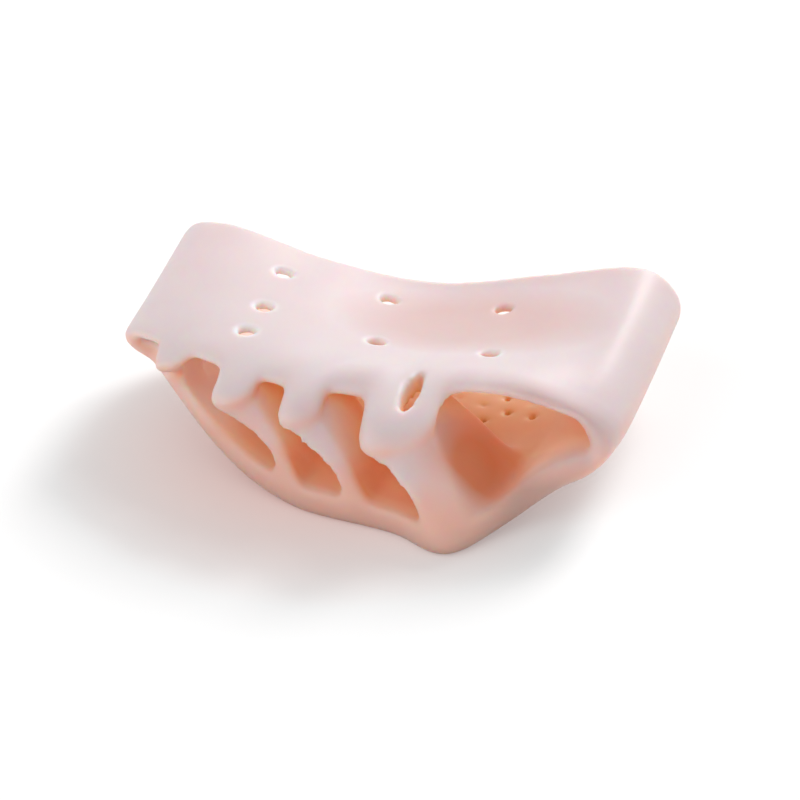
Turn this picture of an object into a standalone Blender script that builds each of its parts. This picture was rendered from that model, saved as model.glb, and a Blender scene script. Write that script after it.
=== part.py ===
"""A one-piece toe separator for the right foot, moulded in soft translucent silicone.

A thick sole pad lies under the ball of the foot and curls up at both sides. A thin vented sheet closes
it over the top, so that the foot slides in from the rear. At the front four septa stand between the sole
and the sheet and part the toes. X runs across the foot towards the big toe, Y from the toes to the heel
and Z up. The sole rests on Z = 0, with the origin on its flat middle.
"""
import math
from typing import NamedTuple

import bmesh
import bpy
from mathutils import Matrix, Vector

MM = 0.001

# Main sizes, in millimetres like every size below. The sheet is widest along its rear edge, and the other
# edges follow from that width. The sole is longest along its middle.
SHEET_REAR_WIDTH = 84.5
SOLE_REAR_WIDTH = SHEET_REAR_WIDTH - 5.0
SHEET_FRONT_WIDTH = SHEET_REAR_WIDTH - 7.5
SOLE_FRONT_WIDTH = SHEET_REAR_WIDTH - 7.0
SOLE_LENGTH = 69.0
SOLE_TIP = -32.0
SOLE_HEEL = SOLE_TIP + SOLE_LENGTH

# Walls.
SOLE_THICKNESS = 4.4
SIDE_THICKNESS = 3.2
SHEET_THICKNESS = 1.8

# Outlines across the foot: each is a smooth curve through a few (X, value) points, from little to big toe.
SOLE_FRONT = ((-45.0, 0.0), (-40.0, -5.0), (-29.0, -14.5), (-13.0, -23.5), (4.0, -27.6), (13.0, SOLE_TIP),
              (22.0, -23.0), (33.0, -17.0))
SOLE_FRONT_LIFT = ((-45.0, 12.0), (-40.0, 10.2), (-33.0, 6.5), (-25.0, 2.4), (-16.0, 0.3), (-12.0, 0.0),
                   (15.0, 0.0), (22.0, 2.0), (33.0, 7.6))
SOLE_REAR = ((-42.0, SOLE_HEEL - 6.0), (-25.0, SOLE_HEEL - 2.0), (0.0, SOLE_HEEL), (25.0, SOLE_HEEL - 2.0),
             (38.0, SOLE_HEEL - 6.0))
SOLE_REAR_LIFT = ((-42.0, 7.5), (-34.0, 2.4), (-25.0, 0.0), (25.0, 0.0), (32.0, 2.6), (38.0, 8.0))
SHEET_FRONT = ((-45.0, -2.5), (-31.0, -10.5), (-18.0, -15.2), (-6.0, -15.8), (4.0, -14.4), (14.0, -12.6),
               (31.0, -13.0))
SHEET_FRONT_HEIGHT = ((-46.0, 18.5), (-31.0, 20.5), (-6.0, 21.0), (14.0, 20.5), (25.0, 19.8), (31.0, 17.6))
SHEET_FRONT_DROOP = ((-46.0, 0.4), (-33.0, 1.2), (-19.0, 2.1), (-5.0, 2.6), (3.0, 2.6), (13.0, 0.4),
                     (20.0, 0.0))
SHEET_REAR = ((-46.0, SOLE_HEEL - 6.5), (-20.0, SOLE_HEEL - 8.0), (0.0, SOLE_HEEL - 8.5),
              (20.0, SOLE_HEEL - 7.5), (40.0, SOLE_HEEL - 6.5))
SHEET_REAR_HEIGHT = ((-46.0, 24.0), (-38.0, 24.6), (-20.0, 19.9), (0.0, 17.8), (20.0, 21.0), (34.0, 23.6),
                     (40.0, 22.5))

# Where the middle of each edge is across the foot, and how far the side walls bulge out between the edges.
SOLE_FRONT_MIDDLE = -5.75
SOLE_REAR_MIDDLE = -1.75
SHEET_FRONT_MIDDLE = -7.5
SHEET_REAR_MIDDLE = -3.25
FRONT_BULGES = (1.3, 2.2)
SIDE_BULGES = (4.0, 4.8)
BULGE_SHARES = (0.3, 0.7)

# The sheet rises to a low ridge behind the toes and dips into a basin behind that.
RIDGE_RISE = 1.2
RIDGE_RISE_AT_SIDES = 0.4
RIDGE_END = 0.5
BASIN_DEPTH = 2.2
BASIN_START = 0.4
BASIN_MIDDLE = 8.0
BASIN_HALF_WIDTH = 26.0

# Rows of the sleeve from its front edge to its rear edge.
LIP = 1.7
HEAD_DEPTH = 8.5
FOOT_DEPTH = 4.5
SEPTUM_ROWS = 3
MIDDLE_ROWS = 3


class Septum(NamedTuple):
    """A wall between two toes.

    It has the middle and width of its foot and of its head. Its head juts forward in a drooping nose, less
    so towards the big toe, whose tip spreads to both sides. Its front is hollowed between nose and sole, and
    towards the rear its foot flares while its head narrows.
    """

    foot_x: float
    foot_width: float
    head_x: float
    head_width: float
    nose: float
    droop: float
    hollow: float
    tip_spread: tuple
    flare: float = 0.0
    narrowing: float = 0.0
    columns: int = 1


SEPTA = (
    Septum(foot_x=-37.5, foot_width=3.0, head_x=-38.5, head_width=3.8, nose=5.0, droop=3.2, hollow=1.6,
           tip_spread=(-1.2, 0.8)),
    Septum(foot_x=-14.4, foot_width=3.6, head_x=-25.0, head_width=4.0, nose=7.2, droop=4.4, hollow=2.2,
           tip_spread=(-3.4, 1.4)),
    Septum(foot_x=-2.6, foot_width=3.8, head_x=-13.9, head_width=3.2, nose=7.8, droop=4.4, hollow=1.6,
           tip_spread=(-2.5, 2.9)),
    Septum(foot_x=12.6, foot_width=6.6, head_x=2.3, head_width=8.4, nose=10.6, droop=4.4, hollow=0.8,
           tip_spread=(-1.6, 3.0), flare=5.0, narrowing=8.5, columns=3),
)
NOSE_TAPER = 0.35
NOSE_ROUNDING = 0.22
DROOP_CURVE = 1.5
SEPTUM_LEVELS = 3
SEPTUM_LEAN_CURVES = (1.6, 1.2)
TIP_FADE = 3
UNDERCUT_SHARE = 0.5
ARCH_CORNERS = (-0.5, 0.2)

# Where the lines between two septa meet the arch over a toe, as shares of its width.
SMALL_ARCH = (0.22, 0.38, 0.64, 0.93)
BIG_ARCH = (0.1, 0.22, 0.6, 0.95)

# Holes.
VENT_DIAMETER = 3.0
VENTS = ((-25.6, 19.3), (-25.7, 6.5), (-26.4, -2.4), (-7.1, 20.2), (-5.5, 2.8), (13.3, 19.5), (14.2, 0.5))
SLIT_WIDTH = 2.6
SLIT_LENGTH = 12.4
SLIT_MIDDLE = (4.2, -14.3)
SLIT_TURN = -6.0
SLIT_FLOOR = 14.0
HOLE_DIAMETER = 1.8
HOLE_PITCH = 4.9
HOLE_ROW_TURN = -20.0
FIRST_HOLE = (16.3, 7.8)
FIELD_MIDDLE = (2.0, 18.0)
FIELD_LENGTH = 58.0
FIELD_WIDTH = 22.0
HOLE_SIDES = 8
VENT_SIDES = 12
SLIT_STEPS = 6
VENT_CUT_FLOOR = 12.0
TOP_CUT_CEILING = 32.0
SOLE_CUT_FLOOR = -3.0
SOLE_CUT_CEILING = 11.0

SMOOTHING_LEVELS = 1
SILICONE_COLOUR = (0.79, 0.66, 0.62, 1.0)
SILICONE_ROUGHNESS = 0.45


def through(points: tuple, x: float) -> float:
    """Read a smooth curve through a few (x, value) points."""
    if x <= points[0][0]:
        return points[0][1]
    if x >= points[-1][0]:
        return points[-1][1]
    index = next(i for i in range(len(points) - 1) if x <= points[i + 1][0])

    def slope(i: int) -> float:
        low, high = max(i - 1, 0), min(i + 1, len(points) - 1)
        if points[i][1] in (points[i - 1][1], points[high][1]):
            return 0.0
        return (points[high][1] - points[low][1]) / (points[high][0] - points[low][0])

    (x0, y0), (x1, y1) = points[index], points[index + 1]
    span = x1 - x0
    t = (x - x0) / span
    pull = slope(index) * span * t * (1 - t) ** 2 - slope(index + 1) * span * t * t * (1 - t)
    return mix(y0, y1, ease(t)) + pull


def mix(a: float, b: float, t: float) -> float:
    """Go from a to b as t goes from 0 to 1."""
    return a + (b - a) * t


def ease(t: float) -> float:
    """Ease a fraction in and out."""
    return t * t * (3 - 2 * t)


def ends(middle: float, width: float) -> tuple[float, float]:
    """Say where an edge ends, at the little toe's side and at the big toe's."""
    return middle - width / 2, middle + width / 2


SOLE_FRONT_ENDS = ends(SOLE_FRONT_MIDDLE, SOLE_FRONT_WIDTH)
SOLE_REAR_ENDS = ends(SOLE_REAR_MIDDLE, SOLE_REAR_WIDTH)
SHEET_FRONT_ENDS = ends(SHEET_FRONT_MIDDLE, SHEET_FRONT_WIDTH)
SHEET_REAR_ENDS = ends(SHEET_REAR_MIDDLE, SHEET_REAR_WIDTH)


class Line(NamedTuple):
    """One lengthwise line of the sleeve.

    It says where the line starts on the sole and on the sheet, how far it juts and droops there as part of a
    nose, how far it is pushed sideways at the very front, how much it swings towards the rear on the sole and
    on the sheet, and how far a septum's front is hollowed on it and how curved its lean is.
    """

    sole_x: float
    sheet_x: float
    nose: float = 0.0
    droop: float = 0.0
    corner: float = 0.0
    sole_swing: float = 0.0
    sheet_swing: float = 0.0
    hollow: float = 0.0
    lean_curve: float = 1.0


def septum_line(septum: Septum, t: float) -> Line:
    """Place a line of a septum, at the fraction t of its width from the little toe's side."""
    jut = 1 - NOSE_TAPER * t + NOSE_ROUNDING * math.sin(math.pi * t)
    return Line(septum.foot_x + septum.foot_width * (t - 0.5), septum.head_x + septum.head_width * (t - 0.5),
                septum.nose * jut, septum.droop * jut, mix(*septum.tip_spread, t), septum.flare * t,
                -septum.narrowing * t, septum.hollow, mix(*SEPTUM_LEAN_CURVES, t))


def lay_out_lines() -> tuple[list[Line], list[bool]]:
    """Place the lengthwise lines from the little toe's side to the big toe's, and mark the septum columns."""
    left = Line(SOLE_FRONT_ENDS[0], SHEET_FRONT_ENDS[0])
    lines = [left]
    solid = []
    for septum in SEPTA + (None,):
        right = septum_line(septum, 0.0) if septum else Line(SOLE_FRONT_ENDS[1], SHEET_FRONT_ENDS[1])
        arch = SMALL_ARCH if septum else BIG_ARCH
        for step, share in enumerate(arch, start=1):
            t = step / (len(arch) + 1)
            corner = {1: ARCH_CORNERS[0], len(arch): ARCH_CORNERS[1]}.get(step, 0.0)
            lines.append(Line(mix(left.sole_x, right.sole_x, t), mix(left.sheet_x, right.sheet_x, share),
                              corner=corner, sole_swing=left.sole_swing * (1 - t)))
        lines.append(right)
        solid += [False] * (len(arch) + 1)
        if septum:
            lines += [septum_line(septum, step / septum.columns) for step in range(1, septum.columns + 1)]
            solid += [True] * septum.columns
        left = lines[-1]
    return lines, solid


LINES, SOLID = lay_out_lines()
LAST = len(LINES) - 1
ROWS = SEPTUM_ROWS + MIDDLE_ROWS + 2


def row_y(front: float, back: float, rear: float, row: int) -> float:
    """Place a row: a lip behind the front edge, then the septa's backs, then even steps to the rear lip."""
    if row <= 1:
        return front + LIP * row
    if row <= SEPTUM_ROWS:
        return mix(front + LIP, back, (row - 1) / (SEPTUM_ROWS - 1))
    if row < ROWS - 1:
        return mix(back, rear - LIP, (row - SEPTUM_ROWS) / (ROWS - 2 - SEPTUM_ROWS))
    return rear


def spread(row: int) -> float:
    """Say how far a row has spread from the front outline to the rear one."""
    return ease(max(0.0, (row - 1) / (ROWS - 2))) if row < ROWS - 1 else 1.0


def rearward(row: int) -> float:
    """Grow from 0 at the front lip to 1 at the septa's backs, and fade away behind them."""
    return min(1.0, max(0, row - 1) / (SEPTUM_ROWS - 1)) * (1 - spread(row))


def sole_point(index: int, row: int) -> Vector:
    """Give a point of the sole's underside."""
    line = LINES[index]
    across = index / LAST
    rear_x = mix(*SOLE_REAR_ENDS, across)
    back = through(SHEET_FRONT, line.sole_x) + FOOT_DEPTH
    x = mix(line.sole_x, rear_x, spread(row))
    x += line.sole_swing * rearward(row)
    y = row_y(through(SOLE_FRONT, line.sole_x), back, through(SOLE_REAR, rear_x), row)
    lift = mix(through(SOLE_FRONT_LIFT, x), through(SOLE_REAR_LIFT, x), spread(row))
    return Vector((x, y, lift))


def sheet_point(index: int, row: int) -> Vector:
    """Give a point of the sheet's upper face."""
    line = LINES[index]
    across = index / LAST
    rear_x = mix(*SHEET_REAR_ENDS, across)
    arch = through(SHEET_FRONT, line.sheet_x)
    x = mix(line.sheet_x, rear_x, spread(row)) + line.sheet_swing * rearward(row)
    if row == 0:
        x += line.corner
    y = row_y(arch - line.nose, arch + HEAD_DEPTH, through(SHEET_REAR, rear_x), row)
    z = mix(through(SHEET_FRONT_HEIGHT, x), through(SHEET_REAR_HEIGHT, x), spread(row))
    droop = line.droop + through(SHEET_FRONT_DROOP, x)
    z -= droop * max(0.0, 1 - row / SEPTUM_ROWS) ** DROOP_CURVE
    inside = max(0.0, 1 - ((x - BASIN_MIDDLE) / BASIN_HALF_WIDTH) ** 2)
    along = row / (ROWS - 1)
    z += RIDGE_RISE * math.sin(math.pi * min(1.0, along / RIDGE_END)) * mix(RIDGE_RISE_AT_SIDES, 1.0, inside)
    z -= BASIN_DEPTH * inside * math.sin(math.pi * max(0.0, along - BASIN_START) / (1 - BASIN_START))
    return Vector((x, y, z))


def side_points(low: Vector, high: Vector, bulge_x: float) -> list[Vector]:
    """Bulge a side wall outwards between the sole's end and the sheet's end."""
    bulge = Vector((bulge_x, 0.0, 0.0))
    return [low.lerp(high, share) + bulge for share in BULGE_SHARES]


def ring(row: int) -> list[tuple[Vector, float]]:
    """Go once round the sleeve at a row, giving each point with the wall's thickness there."""
    sole = [sole_point(i, row) for i in range(LAST + 1)]
    sheet = [sheet_point(i, row) for i in range(LAST, -1, -1)]
    bulges = FRONT_BULGES if row == 0 else SIDE_BULGES
    right = side_points(sole[-1], sheet[0], bulges[1])
    left = side_points(sheet[-1], sole[0], -bulges[0])
    points = [(p, SOLE_THICKNESS) for p in sole]
    points += [(p, SIDE_THICKNESS) for p in right]
    points += [(p, SHEET_THICKNESS) for p in sheet]
    points += [(p, SIDE_THICKNESS) for p in left]
    return points


def build_cage() -> bpy.types.Mesh:
    """Make the coarse cage of the whole moulding: two skins, their rims and the septa between them."""
    cage = bmesh.new()
    rings = [ring(row) for row in range(ROWS)]
    around = len(rings[0])
    outer = [[cage.verts.new(p * MM) for p, _ in points] for points in rings]
    for row in range(ROWS - 1):
        for i in range(around):
            j = (i + 1) % around
            cage.faces.new((outer[row][i], outer[row][j], outer[row + 1][j], outer[row + 1][i]))
    bmesh.ops.recalc_face_normals(cage, faces=cage.faces)
    cage.normal_update()
    outward = -1.0 if outer[ROWS // 2][LAST // 2].normal.z > 0 else 1.0

    def opposite(index: int) -> int:
        """Give the ring place of the sheet's point above a point of the sole."""
        return 2 * LAST + 1 + len(BULGE_SHARES) - index

    septum_lines = {i for i in range(1, LAST) if SOLID[i] or SOLID[i - 1]}
    upright = {j for i in septum_lines for j in (i - 1, i, i + 1)}
    upright |= {opposite(i) for i in upright}
    undercut = {opposite(i + 1) for i in septum_lines if not SOLID[i]}

    def within(vertex: bmesh.types.BMVert, index: int, thickness: float) -> Vector:
        """Go through the wall from an outer point, but straight beside a septum, or clear of its lean."""
        way = vertex.normal * -outward
        if index in upright:
            way.x = UNDERCUT_SHARE if index in undercut else 0.0
        return vertex.co + way.normalized() * thickness * MM

    inner = [[cage.verts.new(within(v, i, points[i][1])) for i, v in enumerate(line)]
             for line, points in zip(outer, rings)]
    below = {i for i in range(LAST) if SOLID[i]}
    above = {opposite(i + 1) for i in below}
    for row in range(ROWS - 1):
        for i in range(around):
            j = (i + 1) % around
            if row < SEPTUM_ROWS and (i in below or i in above):
                continue
            cage.faces.new((inner[row][j], inner[row][i], inner[row + 1][i], inner[row + 1][j]))
    for row in (0, ROWS - 1):
        for i in range(around):
            j = (i + 1) % around
            cage.faces.new((outer[row][i], outer[row][j], inner[row][j], inner[row][i]))

    posts = {}
    for i in range(LAST + 1):
        if not (SOLID[min(i, LAST - 1)] or SOLID[max(i - 1, 0)]):
            continue
        for row in range(SEPTUM_ROWS + 1):
            low, high = inner[row][i], inner[row][opposite(i)]
            post = [low]
            for level in range(1, SEPTUM_LEVELS):
                height = level / SEPTUM_LEVELS
                point = low.co.lerp(high.co, height)
                tip = LINES[i].corner * MM if row == 0 else 0.0
                point.x = mix(low.co.x, high.co.x - tip, height ** LINES[i].lean_curve)
                point.x += tip * height ** TIP_FADE
                point.y += LINES[i].hollow * (1 - row / SEPTUM_ROWS) * MM
                post.append(cage.verts.new(point))
            posts[i, row] = post + [high]
    for i in range(LAST):
        if not SOLID[i]:
            continue
        for level in range(SEPTUM_LEVELS):
            for row in (0, SEPTUM_ROWS):
                a, b = posts[i, row], posts[i + 1, row]
                cage.faces.new((a[level], b[level], b[level + 1], a[level + 1]))
            for edge, beyond in ((i, i - 1), (i + 1, i + 1)):
                if 0 <= beyond < LAST and SOLID[beyond]:
                    continue
                for row in range(SEPTUM_ROWS):
                    a, b = posts[edge, row], posts[edge, row + 1]
                    cage.faces.new((a[level], b[level], b[level + 1], a[level + 1]))
    bmesh.ops.recalc_face_normals(cage, faces=cage.faces)
    mesh = bpy.data.meshes.new("toe_separator")
    cage.to_mesh(mesh)
    cage.free()
    return mesh


def add_cutter(name: str, outlines: list, low: float, high: float, collection) -> bpy.types.Object:
    """Raise one upright prism over each outline, to cut with."""
    shape = bmesh.new()
    for points in outlines:
        bottom = [shape.verts.new(Vector((x, y, low)) * MM) for x, y in points]
        top = [shape.verts.new(Vector((x, y, high)) * MM) for x, y in points]
        shape.faces.new(bottom[::-1])
        shape.faces.new(top)
        for i in range(len(points)):
            j = (i + 1) % len(points)
            shape.faces.new((bottom[i], bottom[j], top[j], top[i]))
    mesh = bpy.data.meshes.new(name)
    shape.to_mesh(mesh)
    shape.free()
    cutter = bpy.data.objects.new(name, mesh)
    cutter.hide_render = True
    cutter.display_type = "WIRE"
    collection.objects.link(cutter)
    return cutter


def circle(x: float, y: float, diameter: float, sides: int) -> list:
    """Give the corners of a round hole."""
    radius = diameter / 2
    angles = [math.tau * i / sides for i in range(sides)]
    return [(x + radius * math.cos(angle), y + radius * math.sin(angle)) for angle in angles]


def lens(x: float, y: float, length: float, width: float, turn: float, steps: int) -> list:
    """Give a slit's outline: two arcs that meet in a point at its front and at its rear."""
    swing = Matrix.Rotation(math.radians(turn), 2)
    half = [Vector((width / 2 * math.sin(math.pi * i / steps), length * (i / steps - 0.5)))
            for i in range(steps)]
    return [tuple(swing @ p + Vector((x, y))) for p in half + [-p for p in half]]


def sole_holes() -> list:
    """Place the sole's small holes in staggered rows within an oval field under the ball of the foot."""
    turn = Matrix.Rotation(math.radians(HOLE_ROW_TURN), 2)
    holes = []
    reach = math.ceil(FIELD_LENGTH / HOLE_PITCH)
    for row in range(-reach, reach):
        for step in range(-reach, reach):
            local = Vector(((step + 0.5 * (row % 2)) * HOLE_PITCH, row * HOLE_PITCH * math.sqrt(0.75)))
            hole = turn @ local + Vector(FIRST_HOLE)
            offset = turn.transposed() @ (hole - Vector(FIELD_MIDDLE))
            if (2 * offset.x / FIELD_LENGTH) ** 2 + (2 * offset.y / FIELD_WIDTH) ** 2 < 1:
                holes.append(tuple(hole))
    return holes


def build_material() -> bpy.types.Material:
    """Make the pale pink translucent silicone."""
    material = bpy.data.materials.new("translucent_silicone")
    material.use_nodes = True
    shader = material.node_tree.nodes["Principled BSDF"]
    shader.inputs["Base Color"].default_value = SILICONE_COLOUR
    shader.inputs["Roughness"].default_value = SILICONE_ROUGHNESS
    shader.inputs["Metallic"].default_value = 0.0
    return material


def main() -> None:
    """Build the toe separator and its holes."""
    for old in list(bpy.data.objects):
        bpy.data.objects.remove(old)
    parts = bpy.data.collections.new("toe_separator")
    cutters = bpy.data.collections.new("cutters")
    bpy.context.scene.collection.children.link(parts)
    bpy.context.scene.collection.children.link(cutters)

    body = bpy.data.objects.new("toe_separator", build_cage())
    body.data.materials.append(build_material())
    parts.objects.link(body)
    moulding = body.modifiers.new("moulded_curves", "SUBSURF")
    moulding.levels = SMOOTHING_LEVELS
    moulding.render_levels = SMOOTHING_LEVELS

    vents = [circle(x, y, VENT_DIAMETER, VENT_SIDES) for x, y in VENTS]
    slit = [lens(*SLIT_MIDDLE, SLIT_LENGTH, SLIT_WIDTH, SLIT_TURN, SLIT_STEPS)]
    holes = [circle(x, y, HOLE_DIAMETER, HOLE_SIDES) for x, y in sole_holes()]
    for name, outlines, low, high in (("vents", vents, VENT_CUT_FLOOR, TOP_CUT_CEILING),
                                      ("slit", slit, SLIT_FLOOR, TOP_CUT_CEILING),
                                      ("sole_holes", holes, SOLE_CUT_FLOOR, SOLE_CUT_CEILING)):
        cut = body.modifiers.new(name, "BOOLEAN")
        cut.operation = "DIFFERENCE"
        cut.solver = "EXACT"
        cut.object = add_cutter(name, outlines, low, high, cutters)
    for polygon in body.data.polygons:
        polygon.use_smooth = True


main()
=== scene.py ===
"""Studio view of a toe separator for the right foot, moulded in soft translucent silicone.

Sizes are in millimetres and become metres where a mesh or an object is made. X runs across the foot towards
the big toe, Y from the toes towards the heel and Z up.
"""

import logging
import math
from dataclasses import dataclass, field
from enum import Enum

import bmesh
import bpy
import numpy as np
from mathutils import Matrix, Vector
from mathutils.bvhtree import BVHTree


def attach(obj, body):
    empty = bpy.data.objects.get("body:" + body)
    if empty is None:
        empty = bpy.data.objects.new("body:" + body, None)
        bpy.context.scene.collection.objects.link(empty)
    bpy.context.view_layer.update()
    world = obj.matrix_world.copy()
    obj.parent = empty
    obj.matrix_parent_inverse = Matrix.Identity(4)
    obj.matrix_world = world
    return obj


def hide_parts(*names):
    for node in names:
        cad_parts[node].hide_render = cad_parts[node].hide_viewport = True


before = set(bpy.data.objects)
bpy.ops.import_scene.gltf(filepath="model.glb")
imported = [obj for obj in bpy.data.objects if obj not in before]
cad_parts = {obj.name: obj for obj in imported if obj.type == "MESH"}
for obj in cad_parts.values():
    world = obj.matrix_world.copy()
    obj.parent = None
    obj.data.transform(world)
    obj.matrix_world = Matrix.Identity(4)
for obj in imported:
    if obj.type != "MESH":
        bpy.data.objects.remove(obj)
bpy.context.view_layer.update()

MM = 0.001
LOG = logging.getLogger("toe_separator")

Curve = tuple[tuple[float, float], ...]
Places = tuple[tuple[float, float], ...]
Stops = tuple[tuple[float, str], ...]


def mix(a: float, b: float, t: float) -> float:
    """Go from a to b as t goes from 0 to 1."""
    return a + (b - a) * t


def ease(t: float) -> float:
    """Ease a fraction in and out."""
    return t * t * (3 - 2 * t)


def through(points: Curve, x: float) -> float:
    """Read a smooth curve through a few points, which stays flat between equal values.

    Args:
        points: (x, value) pairs in rising order of x.
        x: Where to read the curve.

    Returns:
        The curve's value at x, held at its ends beyond them.
    """
    if x <= points[0][0]:
        return points[0][1]
    if x >= points[-1][0]:
        return points[-1][1]
    index = next(i for i in range(len(points) - 1) if x <= points[i + 1][0])

    def slope(i: int) -> float:
        """Give the curve's slope at a point from its neighbours."""
        low, high = max(i - 1, 0), min(i + 1, len(points) - 1)
        if points[i][1] in (points[i - 1][1], points[high][1]):
            return 0.0
        return (points[high][1] - points[low][1]) / (points[high][0] - points[low][0])

    (x0, y0), (x1, y1) = points[index], points[index + 1]
    span = x1 - x0
    t = (x - x0) / span
    pull = slope(index) * span * t * (1 - t) ** 2 - slope(index + 1) * span * t * t * (1 - t)
    return mix(y0, y1, ease(t)) + pull


def linear(code: str) -> tuple[float, float, float, float]:
    """Turn an sRGB hex colour into the linear one that the nodes take.

    Args:
        code: Six hex digits after a hash sign.

    Returns:
        Red, green, blue and an alpha of 1.
    """
    parts = [int(code[i:i + 2], 16) / 255 for i in (1, 3, 5)]
    red, green, blue = (c / 12.92 if c <= 0.04045 else ((c + 0.055) / 1.055) ** 2.4 for c in parts)
    return red, green, blue, 1.0


def add_node(material: bpy.types.Material | bpy.types.World, kind: str, settings: dict | None = None,
             links: dict | None = None) -> bpy.types.Node:
    """Add a shader node, set it up and link its inputs.

    Args:
        material: The material or world whose node tree gets the node.
        kind: The node's Blender type name.
        settings: Property names or input names and numbers, with their values.
        links: Input names or numbers, with the output socket that each one reads.

    Returns:
        The new node.
    """
    node = material.node_tree.nodes.new(kind)
    for name, value in (settings or {}).items():
        if isinstance(name, str) and hasattr(node, name):
            setattr(node, name, value)
        else:
            node.inputs[name].default_value = value
    for name, socket in (links or {}).items():
        material.node_tree.links.new(socket, node.inputs[name])
    return node


def seen_directly(material: bpy.types.Material | bpy.types.World) -> bpy.types.NodeSocket:
    """Tell the rays that show the background itself from those that only carry light.

    Args:
        material: The material or world whose node tree asks.

    Returns:
        A socket that is 1 for the camera's rays and for reflections and refractions of the background.
    """
    rays = add_node(material, "ShaderNodeLightPath")
    seen = rays.outputs["Is Camera Ray"]
    for kind in ("Is Glossy Ray", "Is Transmission Ray"):
        seen = add_node(material, "ShaderNodeMath", {"operation": "MAXIMUM"},
                        {0: seen, 1: rays.outputs[kind]}).outputs[0]
    return seen


def fade(values: np.ndarray, absent: float, full: float) -> np.ndarray:
    """Go from 0 where a value is at absent to 1 where it is at full, in either direction."""
    return np.clip((values - absent) / (full - absent), 0.0, 1.0)


class HoleShape(Enum):
    """The outlines that the mould cuts through a skin."""

    ROUND = "round"
    SLIT = "slit"


@dataclass(frozen=True)
class Cut:
    """One upright cut through a skin of the sleeve."""

    shape: HoleShape
    middle: tuple[float, float]
    width: float
    length: float
    turn: float = 0.0
    steps: int = 16

    def outline(self) -> list[tuple[float, float]]:
        """Give the cut's corners in plan: a ring, or two arcs that meet in a point at both ends."""
        if self.shape is HoleShape.ROUND:
            local = [Vector((math.cos(math.tau * i / self.steps), math.sin(math.tau * i / self.steps)))
                     * (self.width / 2) for i in range(self.steps)]
        else:
            arc = [Vector((self.width / 2 * math.sin(math.pi * i / self.steps),
                           self.length * (i / self.steps - 0.5))) for i in range(self.steps)]
            local = arc + [-p for p in arc]
        swing = Matrix.Rotation(math.radians(self.turn), 2)
        return [tuple(swing @ p + Vector(self.middle)) for p in local]


@dataclass(frozen=True)
class Septum:
    """A wall between two toes, with the middle and width of its foot and of its head.

    Its head juts forward in a drooping nose, whose tip spreads to both sides. Its front is hollowed between
    nose and sole, and towards the rear its foot flares while its head narrows.
    """

    foot_x: float
    foot_width: float
    head_x: float
    head_width: float
    nose: float
    droop: float
    hollow: float
    tip_spread: tuple[float, float]
    flare: float = 0.0
    narrowing: float = 0.0
    columns: int = 1


@dataclass(frozen=True)
class Line:
    """One lengthwise line of the sleeve: its start on the sole and the sheet, and how it bends from there."""

    sole_x: float
    sheet_x: float
    nose: float = 0.0
    droop: float = 0.0
    corner: float = 0.0
    sole_swing: float = 0.0
    sheet_swing: float = 0.0
    hollow: float = 0.0
    lean_curve: float = 1.0


@dataclass(frozen=True)
class Oval:
    """An oval place in the sleeve, flat or solid, with its middle and half sizes."""

    middle: tuple[float, ...]
    reach: tuple[float, ...]

    def distance(self, places: np.ndarray) -> np.ndarray:
        """Measure how far each place lies from the middle, where 1 is the oval's edge."""
        shares = [(axis - at) / size for axis, at, size in zip(places.T, self.middle, self.reach)]
        return np.sqrt(sum(share ** 2 for share in shares))


@dataclass(frozen=True)
class PaintedLightPatch:
    """A place where light or shade is painted into the silicone's colour, for its thickness or its light.

    It fades along several measures, each with a value where the patch is absent and one where it is full.
    """

    name: str
    share: float
    fades: tuple[tuple[str, float, float], ...]

    def strength(self, measures: dict[str, np.ndarray]) -> np.ndarray:
        """Say how strong the patch is at each vertex.

        Args:
            measures: For each measure's name one value for each vertex.

        Returns:
            One value for each vertex, from 0 to the patch's share.
        """
        strength = np.full(len(measures["x"]), self.share)
        for name, absent, full in self.fades:
            strength *= fade(measures[name], absent, full)
        return strength


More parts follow.
